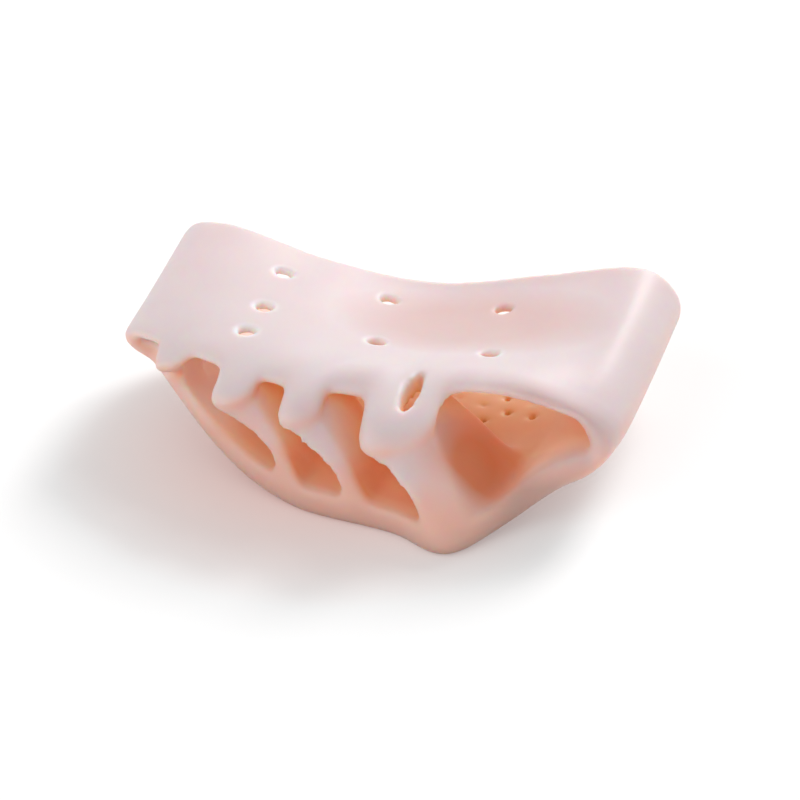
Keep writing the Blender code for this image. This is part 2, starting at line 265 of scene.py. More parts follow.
@dataclass(frozen=True)
class SiliconeFinish:
    """Moulded translucent silicone, cast against a satin mould.

    Light and shade are painted into its colour: milky and pale where it is thin and light reaches it
    straight, a warm skin tone where the wall is thick, and orange deep inside, where light has gone from wall
    to wall many times.
    """

    # Painted light and shade: colours by how open a point lies, orange where it is sheltered and pale where
    # it is open to the light.
    thin_painted_light_stops: Stops = ((0.04, "#fdd6ab"), (0.24, "#fde6c8"), (0.6, "#f4e2d6"), (0.9, "#eadfe1"))
    thick_painted_light_stops: Stops = ((0.12, "#fdd6ab"), (0.45, "#f4b48a"), (0.85, "#f8c9ba"))
    # Painted shade in the basin, on the rims over and under the big toe and, in orange, at the septum's root
    # and toe beds; painted light on the vents' walls and the little toe's side.
    painted_light_colours: tuple[tuple[str, str], ...] = (
        ("root", "#ec8f60"), ("vent", "#fffcff"), ("painted_lip_shade", "#d6c2c2"), ("painted_sole_rim_shade", "#d4b3a9"),
        ("side", "#f6e6ea"), ("basin", "#e0c6c1"))
    milkiness: tuple[float, float] = (0.97, 1.02)
    ior: float = 1.41
    gloss: float = 0.35
    roughness: tuple[float, float] = (0.37, 0.48)
    scatter_radius: tuple[float, float, float] = (3.6, 1.5, 0.9)
    scatter_forward: float = 0.3
    grain_width: float = 0.35
    grain_depth: float = 0.04
    grain_strength: float = 0.12
    swell_width: float = 7.0
    swell_depth: float = 0.25
    swell_strength: float = 0.25

    def colour_by(self, silicone: bpy.types.Material, measure: bpy.types.NodeSocket,
                  stops: Stops) -> bpy.types.NodeSocket:
        """Add a colour ramp.

        Args:
            silicone: The material under way.
            measure: What the colour follows.
            stops: A value of the measure and a hex colour for each stop.

        Returns:
            The ramp's colour.
        """
        ramp = add_node(silicone, "ShaderNodeValToRGB", links={"Fac": measure})
        while len(ramp.color_ramp.elements) < len(stops):
            ramp.color_ramp.elements.new(0.5)
        for element, (position, code) in zip(ramp.color_ramp.elements, stops):
            element.position = position
            element.color = linear(code)
        return ramp.outputs["Color"]

    def build(self) -> bpy.types.Material:
        """Make the material.

        Returns:
            A Principled material with light and shade painted into its colour, by how open the surface lies
            and how thick its wall is.
        """
        silicone = bpy.data.materials.new("moulded_translucent_silicone")
        silicone.use_nodes = True
        silicone.node_tree.nodes.clear()
        place = add_node(silicone, "ShaderNodeTexCoord").outputs["Object"]
        shelter = add_node(silicone, "ShaderNodeAttribute", {"attribute_name": "openness"})
        wall = add_node(silicone, "ShaderNodeAttribute", {"attribute_name": "wall"})
        # Paint light and shade by how open each point lies and how thick its wall is.
        thin = self.colour_by(silicone, shelter.outputs["Fac"], self.thin_painted_light_stops)
        thick = self.colour_by(silicone, shelter.outputs["Fac"], self.thick_painted_light_stops)
        colour = add_node(silicone, "ShaderNodeMix", {"data_type": "RGBA"},
                          {0: wall.outputs["Fac"], 6: thin, 7: thick}).outputs[2]
        # Each patch paints light or shade over the colour.
        for name, code in self.painted_light_colours:
            painted_patch = add_node(silicone, "ShaderNodeAttribute", {"attribute_name": name})
            colour = add_node(silicone, "ShaderNodeMix", {"data_type": "RGBA", 7: linear(code)},
                              {0: painted_patch.outputs["Fac"], 6: colour}).outputs[2]
        cloud = add_node(silicone, "ShaderNodeTexNoise",
                         {"Scale": 1 / (self.swell_width * MM), "Detail": 2.0}, {"Vector": place})
        milk = add_node(silicone, "ShaderNodeMapRange",
                        {"To Min": self.milkiness[0], "To Max": self.milkiness[1]},
                        {"Value": cloud.outputs["Fac"]})
        milky = add_node(silicone, "ShaderNodeVectorMath", {"operation": "SCALE"},
                         {0: colour, "Scale": milk.outputs["Result"]})
        # The mould's satin grain is near 0.1 mm, drawn wider so that it shows at all.
        grain = add_node(silicone, "ShaderNodeTexNoise",
                         {"Scale": 1 / (self.grain_width * MM), "Detail": 3.0}, {"Vector": place})
        satin = add_node(silicone, "ShaderNodeMapRange",
                         {"To Min": self.roughness[0], "To Max": self.roughness[1]},
                         {"Value": grain.outputs["Fac"]})
        swell = add_node(silicone, "ShaderNodeBump",
                         {"Strength": self.swell_strength, "Distance": self.swell_depth * MM},
                         {"Height": cloud.outputs["Fac"]})
        skin = add_node(silicone, "ShaderNodeBump",
                        {"Strength": self.grain_strength, "Distance": self.grain_depth * MM},
                        {"Height": grain.outputs["Fac"], "Normal": swell.outputs["Normal"]})
        shader = add_node(silicone, "ShaderNodeBsdfPrincipled",
                          {"IOR": self.ior, "Specular IOR Level": self.gloss, "Subsurface Weight": 1.0,
                           "Subsurface Scale": MM, "Subsurface Radius": self.scatter_radius,
                           "Subsurface Anisotropy": self.scatter_forward},
                          {"Base Color": milky.outputs["Vector"], "Roughness": satin.outputs["Result"],
                           "Normal": skin.outputs["Normal"]})
        add_node(silicone, "ShaderNodeOutputMaterial", links={"Surface": shader.outputs["BSDF"]})
        return silicone


@dataclass(frozen=True)
class PaperFinish:
    """Matt white studio paper, which keeps the shadow and shows as plain white beyond it.

    Near the sleeve a warm tint is painted into it, standing in for the light that comes through the silicone.
    """

    roughness: float = 0.6
    colour: str = "#d7d7d7"
    painted_glow_colour: str = "#d9bab3"
    glow: float = 0.3
    glow_colour: str = "#ffffff"
    painted_glow_shine_colour: str = "#ffd4cc"
    painted_glow_middle: tuple[float, float] = (-12.0, -7.0)
    painted_glow_reach: tuple[float, float] = (46.0, 43.0)

    def build(self) -> bpy.types.Material:
        """Make the paper, with a little glow that only the camera and reflections see.

        Returns:
            The floor's material.
        """
        paper = bpy.data.materials.new("matt_studio_paper")
        paper.use_nodes = True
        paper.node_tree.nodes.clear()
        level = add_node(paper, "ShaderNodeMath", {"operation": "MULTIPLY", 1: self.glow},
                         {0: seen_directly(paper)})
        # A painted warm glow round the sleeve, in both the paper's colour and its camera glow.
        place = add_node(paper, "ShaderNodeTexCoord").outputs["Object"]
        offset = [-middle / reach for middle, reach in zip(self.painted_glow_middle, self.painted_glow_reach)]
        scale = [1 / (reach * MM) for reach in self.painted_glow_reach]
        scaled = add_node(paper, "ShaderNodeMapping", {"Location": (*offset, 0.0), "Scale": (*scale, 1.0)},
                          {"Vector": place})
        near = add_node(paper, "ShaderNodeTexGradient", {"gradient_type": "SPHERICAL"},
                        {"Vector": scaled.outputs["Vector"]})
        surface = add_node(paper, "ShaderNodeMix",
                           {"data_type": "RGBA", 6: linear(self.colour), 7: linear(self.painted_glow_colour)},
                           {0: near.outputs["Fac"]})
        shine = add_node(paper, "ShaderNodeMix",
                         {"data_type": "RGBA", 6: linear(self.glow_colour), 7: linear(self.painted_glow_shine_colour)},
                         {0: near.outputs["Fac"]})
        matt = add_node(paper, "ShaderNodeBsdfDiffuse", {"Roughness": self.roughness},
                        {"Color": surface.outputs[2]})
        light = add_node(paper, "ShaderNodeEmission",
                         links={"Color": shine.outputs[2], "Strength": level.outputs[0]})
        both = add_node(paper, "ShaderNodeAddShader", links={0: matt.outputs[0], 1: light.outputs[0]})
        add_node(paper, "ShaderNodeOutputMaterial", links={"Surface": both.outputs[0]})
        return paper


@dataclass
class MouldedSleeve:
    """The whole separator: a sole pad, a thin vented sheet above it and four septa between them."""

    sole_thickness: float = 4.4
    side_thickness: float = 3.2
    sheet_thickness: float = 1.8
    sole_front: Curve = ((-45.0, 0.0), (-40.0, -5.0), (-29.0, -14.5), (-13.0, -23.5), (4.0, -27.6),
                         (13.0, -32.0), (22.0, -23.0), (33.0, -17.0))
    sole_front_lift: Curve = ((-45.0, 12.0), (-40.0, 10.2), (-33.0, 6.5), (-25.0, 2.4), (-16.0, 0.3),
                              (-12.0, 0.0), (15.0, 0.0), (22.0, 2.0), (33.0, 7.6))
    sole_rear: Curve = ((-42.0, 31.0), (-25.0, 35.0), (0.0, 37.0), (25.0, 35.0), (38.0, 31.0))
    sole_rear_lift: Curve = ((-42.0, 7.5), (-34.0, 2.4), (-25.0, 0.0), (25.0, 0.0), (32.0, 2.6), (38.0, 8.0))
    sheet_front: Curve = ((-45.0, -2.5), (-31.0, -10.5), (-18.0, -15.2), (-6.0, -15.8), (4.0, -14.4),
                          (14.0, -12.6), (31.0, -13.0))
    sheet_front_height: Curve = ((-46.0, 18.5), (-31.0, 20.5), (-6.0, 21.0), (14.0, 20.5), (25.0, 19.8),
                                 (31.0, 17.6))
    sheet_front_droop: Curve = ((-46.0, 0.4), (-33.0, 1.2), (-19.0, 2.1), (-5.0, 2.6), (3.0, 2.6),
                                (13.0, 0.4), (20.0, 0.0))
    sheet_rear: Curve = ((-46.0, 30.5), (-20.0, 29.0), (0.0, 28.5), (20.0, 29.5), (40.0, 30.5))
    sheet_rear_height: Curve = ((-46.0, 24.0), (-38.0, 24.6), (-20.0, 19.9), (0.0, 17.8), (20.0, 21.0),
                                (34.0, 23.6), (40.0, 22.5))
    sole_front_ends: tuple[float, float] = (-44.5, 33.0)
    sole_rear_ends: tuple[float, float] = (-41.5, 38.0)
    sheet_front_ends: tuple[float, float] = (-46.0, 31.0)
    sheet_rear_ends: tuple[float, float] = (-45.5, 39.0)
    front_bulges: tuple[float, float] = (1.3, 2.2)
    side_bulges: tuple[float, float] = (4.0, 4.8)
    bulge_shares: tuple[float, float] = (0.3, 0.7)
    ridge_rise: float = 1.2
    ridge_rise_at_sides: float = 0.4
    ridge_end: float = 0.5
    basin_depth: float = 2.2
    basin_start: float = 0.4
    basin_middle: float = 8.0
    basin_half_width: float = 26.0
    lip: float = 1.7
    head_depth: float = 8.5
    foot_depth: float = 4.5
    septum_rows: int = 3
    middle_rows: int = 3
    septa: tuple[Septum, ...] = (
        Septum(-37.5, 3.0, -38.5, 3.8, nose=5.0, droop=3.2, hollow=1.6, tip_spread=(-1.2, 0.8)),
        Septum(-14.4, 3.6, -25.0, 4.0, nose=7.2, droop=4.4, hollow=2.2, tip_spread=(-3.4, 1.4)),
        Septum(-2.6, 3.8, -13.9, 3.2, nose=7.8, droop=4.4, hollow=1.6, tip_spread=(-2.5, 2.9)),
        Septum(12.6, 6.6, 2.3, 8.4, nose=10.6, droop=4.4, hollow=0.8, tip_spread=(-1.6, 3.0), flare=5.0,
               narrowing=8.5, columns=3),
    )
    nose_taper: float = 0.35
    nose_rounding: float = 0.22
    droop_curve: float = 1.5
    septum_levels: int = 3
    septum_lean_curves: tuple[float, float] = (1.6, 1.2)
    tip_fade: int = 8
    undercut_share: float = 0.5
    edge_fill: tuple[tuple[float, float], ...] = ((0.85, 0.55), (0.3, 0.25))
    arch_corners: tuple[float, float] = (-0.5, 0.2)
    small_arch: tuple[float, ...] = (0.22, 0.38, 0.64, 0.93)
    big_arch: tuple[float, ...] = (0.1, 0.22, 0.6, 0.95)
    vent_diameter: float = 3.0
    vents: Places = ((-25.6, 19.3), (-25.7, 6.5), (-26.4, -2.4), (-7.1, 20.2), (-5.5, 2.8), (13.3, 19.5),
                     (14.2, 0.5))
    slit: Cut = Cut(HoleShape.SLIT, (4.2, -14.3), width=2.6, length=12.4, turn=-6.0, steps=12)
    hole_diameter: float = 1.4
    hole_pitch: float = 4.9
    hole_row_turn: float = -20.0
    first_hole: tuple[float, float] = (16.3, 7.8)
    field_middle: tuple[float, float] = (2.0, 18.0)
    field_length: float = 58.0
    field_width: float = 22.0
    skin_levels: int = 3
    pore: float = 0.52
    smoothing_passes: int = 7
    smoothing_factor: float = 0.5
    vent_pin_ends: tuple[float, float] = (12.0, 32.0)
    slit_blade_ends: tuple[float, float] = (14.0, 32.0)
    sole_pin_ends: tuple[float, float] = (-3.0, 11.0)
    light_rays: int = 14
    depth_rays: int = 6
    ray_start: float = 0.2
    low_light: float = 0.2
    deepest: float = 9.0
    evening_passes: int = 6
    neighbour_share: float = 0.6
    # How the painted light and shade follow wall thickness, height, slope and openness.
    painted_warmth_depths: tuple[float, float] = (1.9, 6.5)
    pale_slope: float = 0.8
    nose_heights: tuple[float, float] = (6.0, 15.0)
    open_enough: float = 0.2
    side_light: float = 0.64
    sheltered_side: tuple[float, float] = (0.5, 0.3)
    basin: Oval = Oval((9.0, 13.0), (22.0, 12.0))
    root: Oval = Oval((14.3, -17.0, 7.5), (7.0, 9.5, 9.0))
    # Where light and shade are painted over the silicone's colour.
    painted_light_patches: tuple[PaintedLightPatch, ...] = (
        PaintedLightPatch("basin", 0.8, (("basin", 1.3, 0.3), ("z", 11.0, 11.01))),
        PaintedLightPatch("vent", 1.0, (("vent", 0.9, 0.4), ("z", 11.0, 11.01))),
        PaintedLightPatch("slit", 1.0, (("slit", 1.8, 0.8), ("z", 11.0, 11.01))),
        PaintedLightPatch("root", 0.9, (("root", 1.45, 0.55), ("y", -25.0, -21.0), ("z", 1.0, 1.01))),
        PaintedLightPatch("painted_bed_shade", 0.34, (("behind_sole", 2.2, 4.6), ("behind_sole", 18.0, 12.0), ("x", -30.0, -24.0),
                            ("x", 10.0, 7.0), ("z", 10.0, 7.0), ("z", 2.0, 2.01))),
        PaintedLightPatch("painted_lip_shade", 0.8, (("behind_sheet", 5.12, 1.92), ("x", 15.0, 23.0), ("z", 9.0, 16.0))),
        PaintedLightPatch("painted_sole_rim_shade", 1.0, (("behind_sole", 5.12, 1.92), ("x", 17.0, 23.0), ("z", 11.0, 7.0))),
        PaintedLightPatch("side", 1.0, (("x", -20.0, -30.0),)),
        PaintedLightPatch("last_toe", 0.6, (("x", -35.0, -40.0),)),
    )
    lines: list[Line] = field(default_factory=list)
    solid: list[bool] = field(default_factory=list)

    def __post_init__(self) -> None:
        """Lay out the lengthwise lines from the little toe's side to the big toe's."""
        left = Line(self.sole_front_ends[0], self.sheet_front_ends[0])
        self.lines = [left]
        for septum in self.septa + (None,):
            right = Line(self.sole_front_ends[1], self.sheet_front_ends[1])
            if septum:
                right = self.septum_line(septum, 0.0)
            arch = self.small_arch if septum else self.big_arch
            for step, share in enumerate(arch, start=1):
                t = step / (len(arch) + 1)
                corner = {1: self.arch_corners[0], len(arch): self.arch_corners[1]}.get(step, 0.0)
                self.lines.append(Line(mix(left.sole_x, right.sole_x, t),
                                       mix(left.sheet_x, right.sheet_x, share),
                                       corner=corner, sole_swing=left.sole_swing * (1 - t)))
            self.lines.append(right)
            self.solid += [False] * (len(arch) + 1)
            if septum:
                self.lines += [self.septum_line(septum, step / septum.columns)
                               for step in range(1, septum.columns + 1)]
                self.solid += [True] * septum.columns
            left = self.lines[-1]

    @property
    def last(self) -> int:
        """The number of the line nearest the big toe's side."""
        return len(self.lines) - 1

    @property
    def rows(self) -> int:
        """How many rows run round the sleeve from its front edge to its rear edge."""
        return self.septum_rows + self.middle_rows + 2

    def septum_line(self, septum: Septum, t: float) -> Line:
        """Place a line of a septum, at the fraction t of its width from the little toe's side."""
        jut = 1 - self.nose_taper * t + self.nose_rounding * math.sin(math.pi * t)
        return Line(septum.foot_x + septum.foot_width * (t - 0.5),
                    septum.head_x + septum.head_width * (t - 0.5),
                    septum.nose * jut, septum.droop * jut, mix(*septum.tip_spread, t), septum.flare * t,
                    -septum.narrowing * t, septum.hollow, mix(*self.septum_lean_curves, t))

    def row_y(self, front: float, back: float, rear: float, row: int) -> float:
        """Place a row: a lip behind the front edge, the septa's backs, then even steps to the rear lip.

        Args:
            front: Where the line's front edge is.
            back: Where the septa end.
            rear: Where the rear edge is.
            row: The row's number from the front.

        Returns:
            The row's place along the foot.
        """
        if row <= 1:
            return front + self.lip * row
        if row <= self.septum_rows:
            return mix(front + self.lip, back, (row - 1) / (self.septum_rows - 1))
        if row < self.rows - 1:
            return mix(back, rear - self.lip, (row - self.septum_rows) / (self.rows - 2 - self.septum_rows))
        return rear

    def spread(self, row: int) -> float:
        """Say how far a row has spread from the front outline to the rear one."""
        return ease(max(0.0, (row - 1) / (self.rows - 2))) if row < self.rows - 1 else 1.0

    def rearward(self, row: int) -> float:
        """Grow from 0 at the front lip to 1 at the septa's backs, and fade away behind them."""
        return min(1.0, max(0, row - 1) / (self.septum_rows - 1)) * (1 - self.spread(row))

    def sole_point(self, index: int, row: int) -> Vector:
        """Give a point of the sole's underside."""
        line = self.lines[index]
        rear_x = mix(*self.sole_rear_ends, index / self.last)
        back = through(self.sheet_front, line.sole_x) + self.foot_depth
        x = mix(line.sole_x, rear_x, self.spread(row)) + line.sole_swing * self.rearward(row)
        y = self.row_y(through(self.sole_front, line.sole_x), back, through(self.sole_rear, rear_x), row)
        lift = mix(through(self.sole_front_lift, x), through(self.sole_rear_lift, x), self.spread(row))
        return Vector((x, y, lift))

    def sheet_point(self, index: int, row: int) -> Vector:
        """Give a point of the sheet's upper face, with its noses, its ridge and its basin."""
        line = self.lines[index]
        rear_x = mix(*self.sheet_rear_ends, index / self.last)
        arch = through(self.sheet_front, line.sheet_x)
        x = mix(line.sheet_x, rear_x, self.spread(row)) + line.sheet_swing * self.rearward(row)
        if row == 0:
            x += line.corner
        y = self.row_y(arch - line.nose, arch + self.head_depth, through(self.sheet_rear, rear_x), row)
        z = mix(through(self.sheet_front_height, x), through(self.sheet_rear_height, x), self.spread(row))
        droop = line.droop + through(self.sheet_front_droop, x)
        z -= droop * max(0.0, 1 - row / self.septum_rows) ** self.droop_curve
        inside = max(0.0, 1 - ((x - self.basin_middle) / self.basin_half_width) ** 2)
        along = row / (self.rows - 1)
        ridge = math.sin(math.pi * min(1.0, along / self.ridge_end))
        basin = math.sin(math.pi * max(0.0, along - self.basin_start) / (1 - self.basin_start))
        z += self.ridge_rise * ridge * mix(self.ridge_rise_at_sides, 1.0, inside)
        z -= self.basin_depth * inside * basin
        return Vector((x, y, z))

    def ring(self, row: int) -> list[tuple[Vector, float]]:
        """Go once round the sleeve at a row.

        Args:
            row: The row's number from the front.

        Returns:
            Each point of the outer skin with the wall's thickness there, from the sole's little-toe end
            over the big toe's side and the sheet back to the little toe's side.
        """
        sole = [self.sole_point(i, row) for i in range(self.last + 1)]
        sheet = [self.sheet_point(i, row) for i in range(self.last, -1, -1)]
        bulges = self.front_bulges if row == 0 else self.side_bulges
        right = [sole[-1].lerp(sheet[0], s) + Vector((bulges[1], 0.0, 0.0)) for s in self.bulge_shares]
        left = [sheet[-1].lerp(sole[0], s) - Vector((bulges[0], 0.0, 0.0)) for s in self.bulge_shares]
        points = [(p, self.sole_thickness) for p in sole]
        points += [(p, self.side_thickness) for p in right]
        points += [(p, self.sheet_thickness) for p in sheet]
        points += [(p, self.side_thickness) for p in left]
        return points

    def cage(self) -> bpy.types.Mesh:
        """Make the coarse cage: two skins, their rims and the septa between them.

        Returns:
            A closed mesh in metres.
        """
        cage = bmesh.new()
        rings = [self.ring(row) for row in range(self.rows)]
        around = len(rings[0])
        outer = [[cage.verts.new(p * MM) for p, _ in points] for points in rings]
        for row in range(self.rows - 1):
            for i in range(around):
                j = (i + 1) % around
                cage.faces.new((outer[row][i], outer[row][j], outer[row + 1][j], outer[row + 1][i]))
        bmesh.ops.recalc_face_normals(cage, faces=cage.faces)
        cage.normal_update()
        outward = -1.0 if outer[self.rows // 2][self.last // 2].normal.z > 0 else 1.0
        above_line = 2 * self.last + 1 + len(self.bulge_shares)
        septum_lines = {i for i in range(1, self.last) if self.solid[i] or self.solid[i - 1]}
        upright = {j for i in septum_lines for j in (i - 1, i, i + 1)}
        upright |= {above_line - i for i in upright}
        undercut = {above_line - i - 1 for i in septum_lines if not self.solid[i]}

        def within(vertex: bmesh.types.BMVert, index: int, thickness: float) -> Vector:
            """Go through the wall from an outer point, but straight beside a septum, or clear of its lean."""
            way = vertex.normal * -outward
            if index in upright:
                way.x = self.undercut_share if index in undercut else 0.0
            return vertex.co + way.normalized() * thickness * MM

        inner = [[cage.verts.new(within(v, i, points[i][1])) for i, v in enumerate(line)]
                 for line, points in zip(outer, rings)]
        below = {i for i in range(self.last) if self.solid[i]}
        above = {above_line - i - 1 for i in below}
        for row in range(self.rows - 1):
            for i in range(around):
                j = (i + 1) % around
                if row < self.septum_rows and (i in below or i in above):
                    continue
                cage.faces.new((inner[row][j], inner[row][i], inner[row + 1][i], inner[row + 1][j]))
        for row in (0, self.rows - 1):
            for i in range(around):
                j = (i + 1) % around
                cage.faces.new((outer[row][i], outer[row][j], inner[row][j], inner[row][i]))
        self.add_septa(cage, inner, above_line)
        bmesh.ops.recalc_face_normals(cage, faces=cage.faces)
        mesh = bpy.data.meshes.new("sleeve_cage")
        cage.to_mesh(mesh)
        cage.free()
        return mesh

    def add_septa(self, cage: bmesh.types.BMesh, inner: list[list[bmesh.types.BMVert]],
                  above_line: int) -> None:
        """Close the gaps in the inner skin with the septa's walls.

        Args:
            cage: The cage under way.
            inner: The inner skin's vertices by row and place in the ring.
            above_line: The ring place of the sheet's point above line 0.
        """
        posts = {}
        for i in range(self.last + 1):
            if not (self.solid[min(i, self.last - 1)] or self.solid[max(i - 1, 0)]):
                continue
            for row in range(self.septum_rows + 1):
                low, high = inner[row][i], inner[row][above_line - i]
                post = [low]
                for level in range(1, self.septum_levels):
                    height = level / self.septum_levels
                    point = low.co.lerp(high.co, height)
                    tip = self.lines[i].corner * MM if row == 0 else 0.0
                    point.x = mix(low.co.x, high.co.x - tip, height ** self.lines[i].lean_curve)
                    point.x += tip * height ** self.tip_fade
                    point.y += self.lines[i].hollow * (1 - row / self.septum_rows) * MM
                    post.append(cage.verts.new(point))
                posts[i, row] = post + [high]
            if not self.solid[max(i - 1, 0)]:
                self.blunt_edge([posts[i, row] for row in range(self.septum_rows)])
        for i in range(self.last):
            if not self.solid[i]:
                continue
            for level in range(self.septum_levels):
                for row in (0, self.septum_rows):
                    a, b = posts[i, row], posts[i + 1, row]
                    cage.faces.new((a[level], b[level], b[level + 1], a[level + 1]))
                for edge, beyond in ((i, i - 1), (i + 1, i + 1)):
                    if 0 <= beyond < self.last and self.solid[beyond]:
                        continue
                    for row in range(self.septum_rows):
                        a, b = posts[edge, row], posts[edge, row + 1]
                        cage.faces.new((a[level], b[level], b[level + 1], a[level + 1]))

    def blunt_edge(self, posts: list[list[bmesh.types.BMVert]]) -> None:
        """Fill the hollow behind a septum's leaning front edge, which would else be a thin fin.

        Args:
            posts: The posts of the septum's side towards the little toe, from the front backwards.
        """
        edge_heights = [vertex.co.z for vertex in posts[0]]
        edge_places = [vertex.co.x for vertex in posts[0]]
        for post, shares in zip(posts[1:], self.edge_fill):
            for vertex, share in zip(post[1:-1], shares):
                edge_x = float(np.interp(vertex.co.z, edge_heights, edge_places))
                vertex.co.x = mix(vertex.co.x, min(vertex.co.x, edge_x), share)

    def sole_holes(self) -> list[Cut]:
        """Place the sole's small holes in staggered rows within an oval field.

        Returns:
            One round cut for each hole.
        """
        turn = Matrix.Rotation(math.radians(self.hole_row_turn), 2)
        holes = []
        reach = math.ceil(self.field_length / self.hole_pitch)
        for row in range(-reach, reach):
            for step in range(-reach, reach):
                local = Vector(((step + 0.5 * (row % 2)) * self.hole_pitch,
                                row * self.hole_pitch * math.sqrt(0.75)))
                hole = turn @ local + Vector(self.first_hole)
                offset = turn.transposed() @ (hole - Vector(self.field_middle))
                if (2 * offset.x / self.field_length) ** 2 + (2 * offset.y / self.field_width) ** 2 < 1:
                    holes.append(Cut(HoleShape.ROUND, tuple(hole), self.hole_diameter, self.hole_diameter,
                                     steps=12))
        return holes

    def cutter(self, name: str, cuts: list[Cut], low: float, high: float) -> bpy.types.Object:
        """Raise one upright prism over each cut's outline.

        Args:
            name: The cutter's name.
            cuts: What to cut.
            low: The prisms' lower end.
            high: The prisms' upper end.

        Returns:
            The object that a Boolean cuts with.
        """
        shape = bmesh.new()
        for cut in cuts:
            points = cut.outline()
            bottom = [shape.verts.new(Vector((x, y, low)) * MM) for x, y in points]
            top = [shape.verts.new(Vector((x, y, high)) * MM) for x, y in points]
            shape.faces.new(bottom[::-1])
            shape.faces.new(top)
            for i in range(len(points)):
                j = (i + 1) % len(points)
                shape.faces.new((bottom[i], bottom[j], top[j], top[i]))
        mesh = bpy.data.meshes.new(name)
        shape.to_mesh(mesh)
        shape.free()
        cutter = bpy.data.objects.new(name, mesh)
        bpy.context.scene.collection.objects.link(cutter)
        return cutter

    def mould(self) -> bpy.types.Mesh:
        """Smooth the cage, cut its holes and soften every edge as a mould leaves it.

        Returns:
            The finished skin, in even small faces.
        """
        rough = bpy.data.objects.new("sleeve_cage", self.cage())
        bpy.context.scene.collection.objects.link(rough)
        curves = rough.modifiers.new("moulded_curves", "SUBSURF")
        curves.levels = self.skin_levels
        curves.render_levels = self.skin_levels
        vents = [Cut(HoleShape.ROUND, middle, self.vent_diameter, self.vent_diameter)
                 for middle in self.vents]
        cutters = [self.cutter("vent_pins", vents, *self.vent_pin_ends),
                   self.cutter("slit_blade", [self.slit], *self.slit_blade_ends),
                   self.cutter("sole_pins", self.sole_holes(), *self.sole_pin_ends)]
        for cutter in cutters:
            cut = rough.modifiers.new(cutter.name, "BOOLEAN")
            cut.operation = "DIFFERENCE"
            cut.solver = "EXACT"
            cut.object = cutter
        even = rough.modifiers.new("even_faces", "REMESH")
        even.mode = "VOXEL"
        even.voxel_size = self.pore * MM
        soft = rough.modifiers.new("soft_edges", "SMOOTH")
        soft.factor = self.smoothing_factor
        soft.iterations = self.smoothing_passes
        skin = bpy.data.meshes.new_from_object(rough.evaluated_get(bpy.context.evaluated_depsgraph_get()))
        skin.name = "sleeve_skin"
        for tool in [rough] + cutters:
            bpy.data.objects.remove(tool)
        return skin

    def measure_light(self, skin: bpy.types.Mesh) -> tuple[np.ndarray, np.ndarray]:
        """Measure how open each point lies and how deep the silicone is behind it.

        Openness is the share of directions that leave the sleeve freely, where those that lead up to the
        light count most. Depth is the mean way through the wall in millimetres, up to a limit.

        Args:
            skin: The finished skin.

        Returns:
            Both measures for each vertex, evened out a little.
        """
        tree = BVHTree.FromPolygons([v.co for v in skin.vertices], [p.vertices[:] for p in skin.polygons])
        golden = math.pi * (3 - math.sqrt(5))
        dome = []
        for i in range(self.light_rays):
            reach = math.sqrt((i + 0.5) / self.light_rays)
            dome.append((reach * math.cos(golden * i), reach * math.sin(golden * i),
                         math.sqrt(1 - reach ** 2)))
        inward = dome[:self.depth_rays]
        openness = np.zeros(len(skin.vertices))
        depth = np.zeros(len(skin.vertices))
        for index, vertex in enumerate(skin.vertices):
            normal = vertex.normal
            side = normal.orthogonal().normalized()
            across = normal.cross(side)
            start = vertex.co + normal * self.ray_start * MM
            free = total = 0.0
            for a, b, c in dome:
                way = side * a + across * b + normal * c
                share = self.low_light + max(0.0, way.z)
                total += share
                if tree.ray_cast(start, way)[0] is None:
                    free += share
            openness[index] = free / total
            start = vertex.co - normal * self.ray_start * MM
            ways = [tree.ray_cast(start, side * a + across * b - normal * c)[3] for a, b, c in inward]
            depth[index] = sum(min(way or 0.0, self.deepest * MM) for way in ways) / len(ways) / MM
        return self.even_out(skin, openness), self.even_out(skin, depth)

    def even_out(self, skin: bpy.types.Mesh, values: np.ndarray) -> np.ndarray:
        """Even out a value with each vertex's neighbours.

        Args:
            skin: The mesh that the values lie on.
            values: One value for each vertex.

        Returns:
            The smoother values.
        """
        edges = np.empty(len(skin.edges) * 2, dtype=np.int64)
        skin.edges.foreach_get("vertices", edges)
        edges = edges.reshape(-1, 2)
        count = np.bincount(edges.ravel(), minlength=len(values))
        for _ in range(self.evening_passes):
            total = np.bincount(edges[:, 0], values[edges[:, 1]], len(values))
            total += np.bincount(edges[:, 1], values[edges[:, 0]], len(values))
            values = (1 - self.neighbour_share) * values + self.neighbour_share * total / np.maximum(count, 1)
        return values

    def light_paint(self, places: np.ndarray) -> dict[str, np.ndarray]:
        """Say where light or shade is painted into the silicone's colour, for its thickness or its light.

        Painted pink shade lies in the basin, where the thin sheet dips over the open cavity and the warm
        inside shows through it. Painted light lies on the vents' and the slit's walls, which light reaches
        through the sheet from all round. Painted orange shade lies where the widest septum runs out into the
        sole in its thickest place, and on the sheltered beds of the toe openings. The rims over and under the
        big toe are rolled, with painted grey shade. The little toe's side is thin and lets in more light, and
        is painted paler.

        Args:
            places: Each vertex's place in millimetres.

        Returns:
            For each patch one value from 0 to 1 for each vertex.
        """
        x, y, z = places.T
        vent = np.min([np.hypot(x - vent_x, y - vent_y) for vent_x, vent_y in self.vents], axis=0)
        slit = Oval(self.slit.middle, (self.slit.width, self.slit.length / 2))
        measures = {"x": x, "y": y, "z": z, "vent": vent / self.vent_diameter, "slit": slit.distance(places),
                    "basin": self.basin.distance(places) ** 2, "root": self.root.distance(places),
                    "behind_sheet": y - np.array([through(self.sheet_front, place) for place in x]),
                    "behind_sole": y - np.array([through(self.sole_front, place) for place in x])}
        return {patch.name: patch.strength(measures) for patch in self.painted_light_patches}

